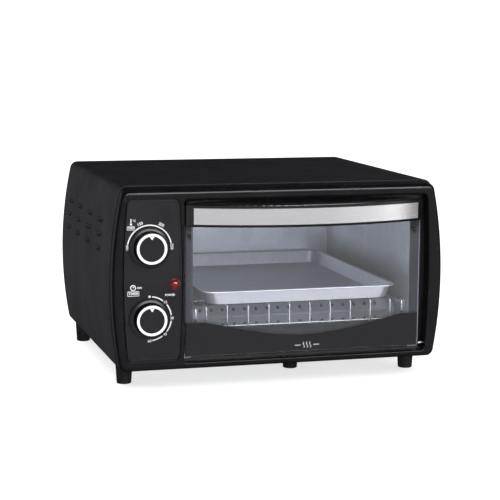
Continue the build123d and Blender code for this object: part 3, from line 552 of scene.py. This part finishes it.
def timer_scale():
    """Arcs between the minutes of the lower dial, and a clock face beside the first."""
    marks = panel_print()
    dial = TIMER_DIAL
    marks.disc(around(dial, DIAL_RADIUS, 90), 1.25 * MM)
    for start, end in ((83, 52), (38, 7), (-8, -38), (-54, -83)):
        marks.arc((dial.x, dial.z), DIAL_RADIUS, DIAL_STROKE, start, end, 16)
    for angle, words in ((45, "15"), (-1, "30"), (-46, "45"), (-90, "60")):
        marks.text(words, around(dial, DIAL_RADIUS + 0.5 * MM, angle), LABEL_HEIGHT * 0.95)
    clock = (dial.x - 17.0 * MM, dial.z + 32.4 * MM)
    marks.arc(clock, 2.6 * MM, 0.8 * MM, 0, 360, 32)
    marks.line(clock, (clock[0] + 1.3 * MM, clock[1] + 1.0 * MM), 0.5 * MM)
    marks.line(clock, (clock[0], clock[1] + 1.6 * MM), 0.5 * MM)
    marks.text("MIN", (clock[0] + 6.6 * MM, clock[1] - 0.3 * MM), 2.0 * MM)
    named_box(marks, "TIMER", (clock[0] + 0.2 * MM, clock[1] - 6.1 * MM), (11.6 * MM, 4.6 * MM))
    marks.make("timer_scale", "oven", "white_mark", FINISHES["white_mark"])


def lamp_mark():
    """The word under the lamp."""
    marks = panel_print()
    marks.text("POWER", (LAMP.x - 5.0 * MM, LAMP.z - 11.2 * MM), 2.15 * MM)
    marks.make("lamp_mark", "oven", "white_mark", FINISHES["white_mark"])


# ---- prints fired into the door's glass ----
FRIT_DEPTH = (GLASS_BOX[1].y - 0.09 * MM, GLASS_BOX[1].y - 0.03 * MM)
BAND_SIDE_Z = 69.0 * MM
BAND_MIDDLE_Z = 51.6 * MM
BAND_CURVE_X = (GLASS_BOX[0].x + 20 * MM, GLASS_BOX[1].x - 19 * MM)
BAND_CURVE_POWER = 1.12
BAND_STEPS = 96
UPPER_BAND_Z = 170 * MM
BAND_MARGIN = 0.9 * MM
DOT_PITCH = 1.7 * MM
DOT_ROWS = ((0.9 * MM, 0.52 * MM), (2.05 * MM, 0.36 * MM))


def band_top(x):
    """Height of the lower black band: level near the sides, dipping in a smooth arc between them."""
    left, right = BAND_CURVE_X
    share = min(max((x - left) / (right - left), 0.0), 1.0)
    dip = math.sin(math.pi * share) ** BAND_CURVE_POWER
    return BAND_SIDE_Z - (BAND_SIDE_Z - BAND_MIDDLE_Z) * dip


def glass_bands():
    """Black bands along the bottom and the top of the glass, with a fading edge of dots."""
    low, high = GLASS_BOX
    left, right = low.x + BAND_MARGIN, high.x - BAND_MARGIN
    top = high.z - BAND_MARGIN
    xs = [left + (right - left) * i / BAND_STEPS for i in range(BAND_STEPS + 1)]
    bands = Print(*FRIT_DEPTH)
    bands.band([(x, band_top(x)) for x in xs], [(x, low.z + BAND_MARGIN) for x in xs])
    bands.band([(left, top), (right, top)], [(left, UPPER_BAND_Z), (right, UPPER_BAND_Z)])
    for row, (rise, radius) in enumerate(DOT_ROWS):
        for i in range(int((right - left) / DOT_PITCH)):
            x = left + (i + 0.5 + 0.5 * row) * DOT_PITCH
            if x < right - radius:
                bands.disc((x, band_top(x) + rise), radius, 8)
    bands.make("glass_bands", "door", "black_front_frame", FRIT)


SYMBOL_DEPTH = (FRIT_DEPTH[0] - 0.12 * MM, FRIT_DEPTH[0] - 0.06 * MM)
SYMBOL_X = (GLASS_BOX[0].x + GLASS_BOX[1].x) / 2 + 4 * MM
SYMBOL_Z = GLASS_BOX[0].z + 3.6 * MM
WAVE_HEIGHT = 6.4 * MM
WAVE_PITCH = 3.6 * MM
WAVE_SWING = 0.75 * MM
WAVE_STROKE = 0.84 * MM
WAVE_STEPS = 20


def wave_edge(x):
    """One edge of a rising wave, as a row of points."""
    shares = [i / WAVE_STEPS for i in range(WAVE_STEPS + 1)]
    return [
        (x + WAVE_SWING * math.sin(2 * math.pi * share), SYMBOL_Z + WAVE_HEIGHT * share) for share in shares
    ]


def heat_symbol():
    """Three rising waves between two short lines, in white on the lower band."""
    marks = Print(*SYMBOL_DEPTH)
    for wave in (-1, 0, 1):
        x = SYMBOL_X + wave * WAVE_PITCH
        marks.band(wave_edge(x + WAVE_STROKE / 2), wave_edge(x - WAVE_STROKE / 2))
    z = SYMBOL_Z + WAVE_HEIGHT / 2
    for side in (-1, 1):
        marks.line((SYMBOL_X + side * 7.0 * MM, z), (SYMBOL_X + side * 13.5 * MM, z), 0.8 * MM)
    marks.make("heat_symbol", "door", "white_mark", FINISHES["white_mark"])


# ---- the wound wire inside the heating tubes ----
CORE_RADIUS = 2.6 * MM
COIL_RADIUS = 2.15 * MM
COIL_WIRE = 0.38 * MM
COIL_PITCH = 2.3 * MM
COIL_STEPS = 12
COIL_SIDES = 5
COIL_TAIL = 4 * MM


def add_wire(shapes, path, radius, sides):
    """Round wire along a row of points, closed at both ends."""
    rings = []
    for i, point in enumerate(path):
        ahead = (path[min(i + 1, len(path) - 1)] - path[max(i - 1, 0)]).normalized()
        side = ahead.cross(Vector((0.3, 0.5, 0.81))).normalized()
        up = side.cross(ahead)
        offsets = [on_circle((0, 0), radius, 360 * k / sides) for k in range(sides)]
        rings.append([shapes.verts.new(point + side * across + up * rise) for across, rise in offsets])
    for first, second in zip(rings, rings[1:]):
        for k in range(sides):
            j = (k + 1) % sides
            shapes.faces.new((first[k], first[j], second[j], second[k]))
    shapes.faces.new(list(reversed(rings[0])))
    shapes.faces.new(rings[-1])


def heater_middles():
    """Depth and height of the four tubes, from the plain cylinders that stand for their coils."""
    low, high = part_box("heater_coils")
    depths = (low.y + CORE_RADIUS, high.y - CORE_RADIUS)
    heights = (low.z + CORE_RADIUS, high.z - CORE_RADIUS)
    return [(y, z) for y in depths for z in heights]


def heater_windings():
    """A helix of resistance wire along each tube, with a straight tail at both ends."""
    low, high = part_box("heater_coils")
    turns = int((high.x - low.x - 2 * COIL_TAIL) / COIL_PITCH)
    start_x = (low.x + high.x - turns * COIL_PITCH) / 2
    shapes = bmesh.new()
    for middle in heater_middles():
        path = [Vector((low.x, *middle))]
        for step in range(turns * COIL_STEPS + 1):
            x = start_x + COIL_PITCH * step / COIL_STEPS
            path.append(Vector((x, *on_circle(middle, COIL_RADIUS, 360 * step / COIL_STEPS))))
        path.append(Vector((high.x, *middle)))
        add_wire(shapes, path, COIL_WIRE, COIL_SIDES)
    mesh = bpy.data.meshes.new("heater_windings")
    shapes.to_mesh(mesh)
    shapes.free()
    mesh.polygons.foreach_set("use_smooth", [True] * len(mesh.polygons))
    piece = add_piece("heater_windings", mesh, "oven", FINISHES["heating_wire"])
    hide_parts("heater_coils")


# ---- stage, light and camera ----
CAMERA_PLACE = Vector((-0.4803, -1.6675, 0.3759))
CAMERA_YAW = 0.28354
CAMERA_PITCH = 0.1450
CAMERA_ROLL = 0.007645
CAMERA_LENS = 112.43
FLOOR_REACH = 6.0


def make_camera():
    yaw, pitch, roll = CAMERA_YAW, CAMERA_PITCH, CAMERA_ROLL
    ahead = Vector((math.sin(yaw) * math.cos(pitch), math.cos(yaw) * math.cos(pitch), -math.sin(pitch)))
    level = Vector((math.cos(yaw), -math.sin(yaw), 0))
    upright = level.cross(ahead)
    right = level * math.cos(roll) + upright * math.sin(roll)
    up = upright * math.cos(roll) - level * math.sin(roll)
    turn = Matrix((right, up, -ahead)).transposed().to_4x4()
    data = bpy.data.cameras.new("camera")
    data.lens = CAMERA_LENS
    data.sensor_width = 36.0
    data.clip_end = 50.0
    camera = bpy.data.objects.new("camera", data)
    camera.matrix_world = Matrix.Translation(CAMERA_PLACE) @ turn
    bpy.context.scene.collection.objects.link(camera)
    bpy.context.scene.camera = camera


# What mirror-like surfaces see of the studio: soft windows between azimuths (from -Y
# towards +X) and elevations in degrees, the width of their soft edges, and brightness.
WINDOWS = (
    ((-60, 60), (-34, 12), (9, 8), 0.54),
    ((32, 60), (-34, 12), (14, 8), 0.16),
    ((51, 61), (-34, 12), (5, 8), 0.6),
    ((-8, 40), (12, 26), (10, 5), 16.0),
    ((-60, 60), (-88, -40), (20, 6), 0.4),
    ((-170, -110), (-20, 25), (16, 12), 0.2),
    ((95, 150), (-20, 40), (14, 14), 0.2),
)
ROOM = 0.02
BACKDROP = 1.08
MATT_LIGHT = 1.5
OVEN_LIGHT = 1.9


def make_world():
    """Even white for matt surfaces and the background; a dim room with soft windows in reflections."""
    world = bpy.data.worlds.new("studio")
    bpy.context.scene.world = world
    world.use_nodes = True
    world.cycles.sampling_method = "NONE"
    tree = world.node_tree
    tree.nodes.clear()
    link = tree.links.new

    def calculate(operation, *values):
        made = tree.nodes.new("ShaderNodeMath")
        made.operation = operation
        for socket, value in zip(made.inputs, values):
            if isinstance(value, (int, float)):
                socket.default_value = value
            else:
                link(value, socket)
        return made.outputs["Value"]

    def soft_step(value, edge, softness, rising):
        step = tree.nodes.new("ShaderNodeMapRange")
        step.interpolation_type = "SMOOTHSTEP"
        start, end = (edge - softness, edge + softness) if rising else (edge + softness, edge - softness)
        step.inputs["From Min"].default_value = math.radians(start)
        step.inputs["From Max"].default_value = math.radians(end)
        link(value, step.inputs["Value"])
        return step.outputs["Result"]

    place = tree.nodes.new("ShaderNodeTexCoord")
    parts = tree.nodes.new("ShaderNodeSeparateXYZ")
    link(place.outputs["Generated"], parts.inputs["Vector"])
    azimuth = calculate("ARCTAN2", parts.outputs["X"], calculate("MULTIPLY", parts.outputs["Y"], -1.0))
    elevation = calculate("ARCSINE", parts.outputs["Z"])
    mirrored = ROOM
    for azimuths, elevations, softness, brightness in WINDOWS:
        across = calculate(
            "MULTIPLY",
            soft_step(azimuth, azimuths[0], softness[0], True),
            soft_step(azimuth, azimuths[1], softness[0], False),
        )
        upright = calculate(
            "MULTIPLY",
            soft_step(elevation, elevations[0], softness[1], True),
            soft_step(elevation, elevations[1], softness[1], False),
        )
        window = calculate("MULTIPLY", calculate("MULTIPLY", across, upright), brightness)
        mirrored = calculate("ADD", window, mirrored)
    path = tree.nodes.new("ShaderNodeLightPath")
    strength = mirrored
    for kind, brightness in (
        ("Is Transmission Ray", OVEN_LIGHT),
        ("Is Diffuse Ray", MATT_LIGHT),
        ("Is Camera Ray", BACKDROP),
    ):
        mix = tree.nodes.new("ShaderNodeMix")
        mix.inputs["B"].default_value = brightness
        link(path.outputs[kind], mix.inputs["Factor"])
        link(strength, mix.inputs["A"])
        strength = mix.outputs["Result"]
    background = tree.nodes.new("ShaderNodeBackground")
    background.inputs["Color"].default_value = (0.985, 0.99, 1.0, 1.0)
    link(strength, background.inputs["Strength"])
    output = tree.nodes.new("ShaderNodeOutputWorld")
    link(background.outputs["Background"], output.inputs["Surface"])


def soft_lamp(name, place, target, size, power):
    data = bpy.data.lights.new(name, "AREA")
    data.shape = "RECTANGLE"
    data.size, data.size_y = size
    data.energy = power
    lamp = bpy.data.objects.new(name, data)
    lamp.location = place
    lamp.rotation_euler = (Vector(target) - Vector(place)).to_track_quat("-Z", "Y").to_euler()
    lamp.visible_glossy = False
    bpy.context.scene.collection.objects.link(lamp)


def make_stage():
    """A plain white floor. Reflections skip it, so that the studio's windows shape them."""
    corners = [(x * FLOOR_REACH, y * FLOOR_REACH, 0) for x, y in ((-1, -1), (1, -1), (1, 1), (-1, 1))]
    mesh = bpy.data.meshes.new("floor")
    mesh.from_pydata(corners, [], [(0, 1, 2, 3)])
    floor = bpy.data.objects.new("floor", mesh)
    bpy.context.scene.collection.objects.link(floor)
    finish = Finish("floor_paper", matt=0.9, level=0.0, glow=0.66, glow_colour=(1.0, 1.0, 1.0, 1.0))
    finish.colour(finish.noise(3, 2), (0.44, 0.44, 0.44), (0.46, 0.46, 0.46))
    mesh.materials.append(finish.material)
    floor.visible_glossy = False


finish_cad_nodes()
temperature_scale()
timer_scale()
lamp_mark()
glass_bands()
heat_symbol()
heater_windings()
make_stage()
make_world()
soft_lamp("key", (-0.7, -1.5, 1.3), (0.02, 0, 0.1), (0.9, 0.7), 14)
soft_lamp("top", (0.0, 0.05, 1.5), (0, 0, 0.1), (1.0, 0.8), 8)
make_camera()
bpy.context.scene.view_settings.view_transform = "Standard"
